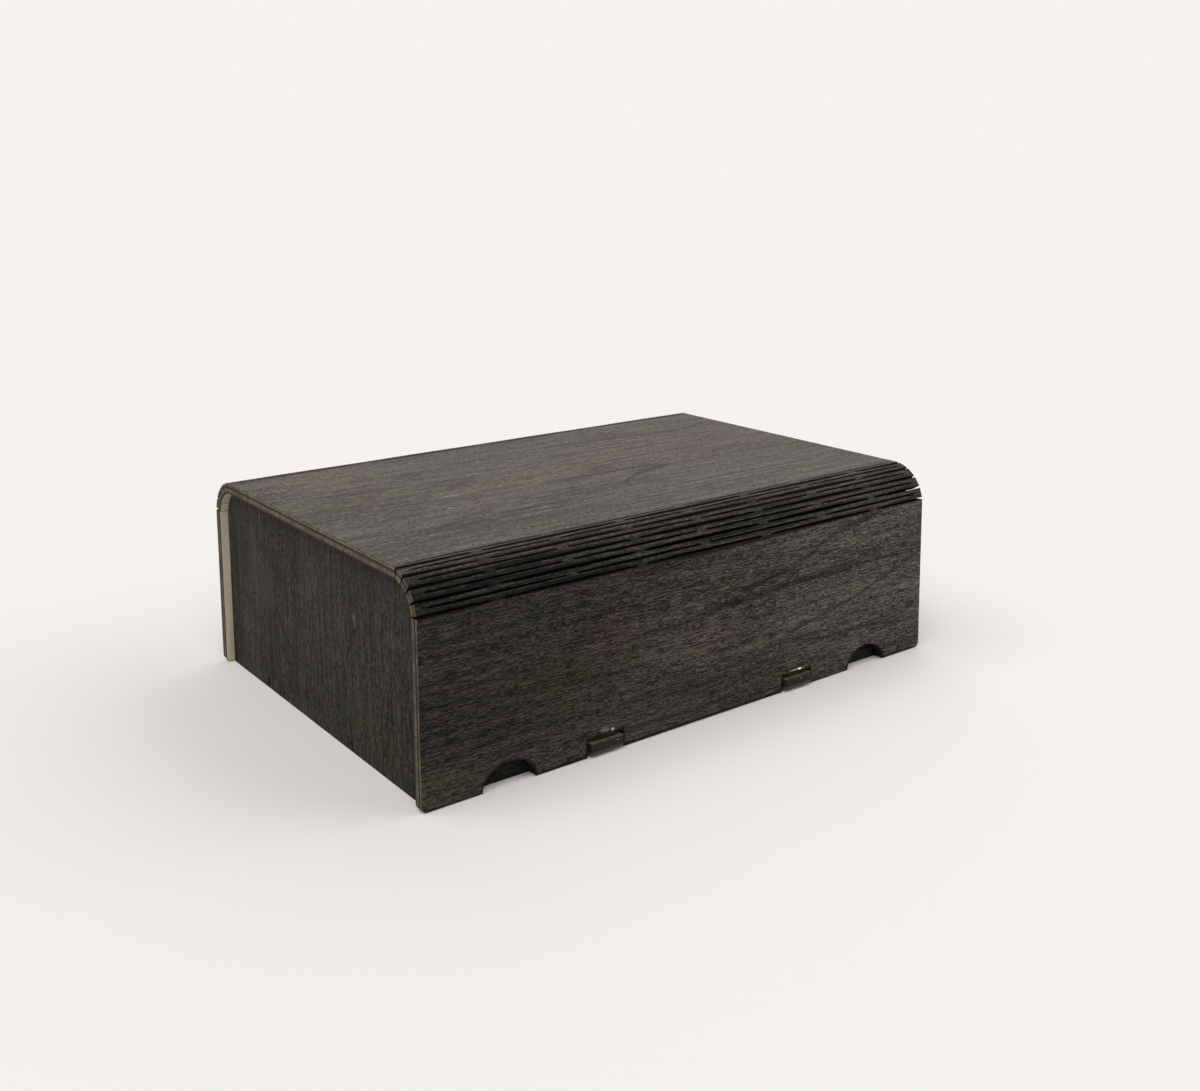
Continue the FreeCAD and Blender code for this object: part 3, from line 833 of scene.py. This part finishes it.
class KEEPSAKE_OT_end_panels(bpy.types.Operator):
    """Build the two ends of the tray, with upright grain"""

    bl_idname = "keepsake.end_panels"
    bl_label = "End panels"

    def execute(self, context):
        wood = context.scene.keepsake_wood
        sheet = context.scene.keepsake_sizes.sheet
        materials = [
            stained_face("stained_end", wood, 21.0, end_figure),
            bare_face("bare_end", wood),
            cut_edge("end_edge", wood, sheet),
        ]
        for name, side in (("left", -1), ("right", 1)):
            piece = flat_panel(name + "_end_panel", name + "_end", (2, 1, 0), side, materials)
        return {"FINISHED"}


class KEEPSAKE_OT_inner_walls(bpy.types.Operator):
    """Build the front and back walls of the tray"""

    bl_idname = "keepsake.inner_walls"
    bl_label = "Inner walls"

    def execute(self, context):
        wood = context.scene.keepsake_wood
        sheet = context.scene.keepsake_sizes.sheet
        materials = [
            # The inner walls' stain is darkened further by painted shade, as they stand inside
            # the cover.
            stained_face("stained_wall", wood, 41.0, partial(plain_figure, shade=WALL_PAINTED_SHADE)),
            bare_face("bare_wall", wood),
            cut_edge("wall_edge", wood, sheet),
        ]
        for name, side in (("front", -1), ("back", 1)):
            piece = flat_panel(
                "inner_" + name + "_wall", name + "_wall", (0, 2, 1), side, materials)
        return {"FINISHED"}


class KEEPSAKE_OT_floor_panel(bpy.types.Operator):
    """Build the floor of the tray, with stained tabs at its ends and, at its sides, tabs that
    are burnt and darkened by painted shade
    """

    bl_idname = "keepsake.floor_panel"
    bl_label = "Floor panel"

    def execute(self, context):
        wood = context.scene.keepsake_wood
        sheet = context.scene.keepsake_sizes.sheet
        materials = [
            stained_face(
                "stained_floor", wood, 61.0, partial(plain_figure, shade=END_SHADE), burnt=0.0),
            bare_face("bare_floor", wood),
            tab_wood("tab_wood", wood, sheet),
        ]
        end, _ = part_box("left_end_panel")
        wall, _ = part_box("inner_front_wall")
        piece = flat_panel(
            "bottom_panel", "tray_floor", (0, 1, 2), -1, materials,
            cuts=((0, -end.x - sheet, OUTER), (1, -wall.y - sheet, EDGE)))
        return {"FINISHED"}


def studio_world(stage):
    """Plain paper for the camera and for reflections, and a dimmer white that lights."""
    world = bpy.data.worlds.new("studio")
    bench = Bench(world)
    camera, glossy, through = bench.outputs(
        "ShaderNodeLightPath", ("Is Camera Ray", "Is Glossy Ray", "Is Transmission Ray"))
    shown = bench.math("MAXIMUM", camera, bench.math("MAXIMUM", glossy, through))
    light = bench.node("ShaderNodeBackground", {}, (1.0, 1.0, 1.0, 1.0), stage.sky)
    paper = bench.node("ShaderNodeBackground", {}, full_colour(stage.backdrop), 1.0)
    mixed = bench.node("ShaderNodeMixShader", {}, shown, light, paper)
    bench.feed(bench.tree.nodes["World Output"].inputs["Surface"], mixed)
    return world


def table_top(stage):
    """Large pale floor, 24 m across, that keeps the box's shadow."""
    bpy.ops.object.select_all(action="DESELECT")
    bpy.ops.mesh.primitive_circle_add(vertices=96, radius=12.0, fill_type="NGON")
    table = bpy.context.object
    table.name = "table_top"
    paper = bpy.data.materials.new("table_paper")
    paper.use_nodes = True
    shader = paper.node_tree.nodes["Principled BSDF"]
    shader.inputs["Base Color"].default_value = full_colour(stage.floor)
    shader.inputs["Roughness"].default_value = 0.9
    shader.inputs["Specular IOR Level"].default_value = 0.0
    table.data.materials.append(paper)


# Soft lamps round the table: name, heading from +X towards +Y, height, width of the disc that
# shines (all in degrees), and the light that it gives the table top.
LAMPS = (
    ("front_left_window", 236, 47, 51, 1.03),
    ("front_right_window", 327, 32, 56, 0.57),
    ("ceiling", 164, 62, 51, 1.14),
    ("back_window", 43, 36, 70, 0.61),
)


def add_lamp(name, heading, height, width, on_table):
    """Sun lamp with a wide disc, so that its shadow is soft."""
    bpy.ops.object.select_all(action="DESELECT")
    turn = (0.0, math.radians(90 - height), math.radians(heading))
    bpy.ops.object.light_add(type="SUN", rotation=turn)
    lamp = bpy.context.object
    lamp.name = name
    lamp.data.energy = on_table / math.sin(math.radians(height))
    lamp.data.angle = math.radians(width)


def add_camera(stage):
    """Camera at the photograph's place, with its lens."""
    heading, dip, roll = stage.camera_turn
    bpy.ops.object.camera_add()
    camera = bpy.context.object
    camera.name = "photograph"
    camera.matrix_world = (
        Matrix.Translation(Vector(stage.camera_place))
        @ Matrix.Rotation(-heading, 4, "Z")
        @ Matrix.Rotation(math.pi / 2 - dip, 4, "X")
        @ Matrix.Rotation(roll, 4, "Z"))
    camera.data.sensor_width = 36.0
    camera.data.lens = stage.lens
    camera.data.shift_x = stage.shift_x
    camera.data.shift_y = stage.shift_y
    camera.data.clip_start = 10 * MM
    return camera


class KEEPSAKE_OT_stage(bpy.types.Operator):
    """Set the table, the light and the camera"""

    bl_idname = "keepsake.stage"
    bl_label = "Stage"

    def execute(self, context):
        scene = context.scene
        stage = scene.keepsake_stage
        table_top(stage)
        scene.world = studio_world(stage)
        for name, heading, height, width, on_table in LAMPS:
            add_lamp(name, heading, height, width, on_table * stage.lamps)
        scene.camera = add_camera(stage)
        scene.view_settings.view_transform = "Standard"
        return {"FINISHED"}


class KEEPSAKE_PT_panel(bpy.types.Panel):
    """Buttons for the pieces of the box and for its stage"""

    bl_label = "Keepsake Box"
    bl_idname = "KEEPSAKE_PT_panel"
    bl_space_type = "VIEW_3D"
    bl_region_type = "UI"
    bl_category = "Keepsake Box"

    def draw(self, context):
        column = self.layout.column()
        for operator in OPERATORS:
            column.operator(operator.bl_idname)
        for name, group in GROUPS:
            for setting in group.__annotations__:
                column.prop(getattr(context.scene, name), setting)


OPERATORS = (
    KEEPSAKE_OT_stage,
    KEEPSAKE_OT_cover,
    KEEPSAKE_OT_end_panels,
    KEEPSAKE_OT_inner_walls,
    KEEPSAKE_OT_floor_panel,
)
GROUPS = (
    ("keepsake_sizes", KeepsakeSizes),
    ("keepsake_wood", KeepsakeWood),
    ("keepsake_stage", KeepsakeStage),
)


def register():
    """Register the settings, the operators and the panel."""
    for name, group in GROUPS:
        bpy.utils.register_class(group)
        setattr(bpy.types.Scene, name, PointerProperty(type=group))
    for operator in OPERATORS:
        bpy.utils.register_class(operator)
    bpy.utils.register_class(KEEPSAKE_PT_panel)


def unregister():
    """Take back all that register() did."""
    bpy.utils.unregister_class(KEEPSAKE_PT_panel)
    for operator in reversed(OPERATORS):
        bpy.utils.unregister_class(operator)
    for name, group in reversed(GROUPS):
        delattr(bpy.types.Scene, name)
        bpy.utils.unregister_class(group)


def main():
    register()
    bpy.ops.keepsake.stage()
    bpy.ops.keepsake.cover()
    bpy.ops.keepsake.end_panels()
    bpy.ops.keepsake.inner_walls()
    bpy.ops.keepsake.floor_panel()


if __name__ == "__main__":
    main()
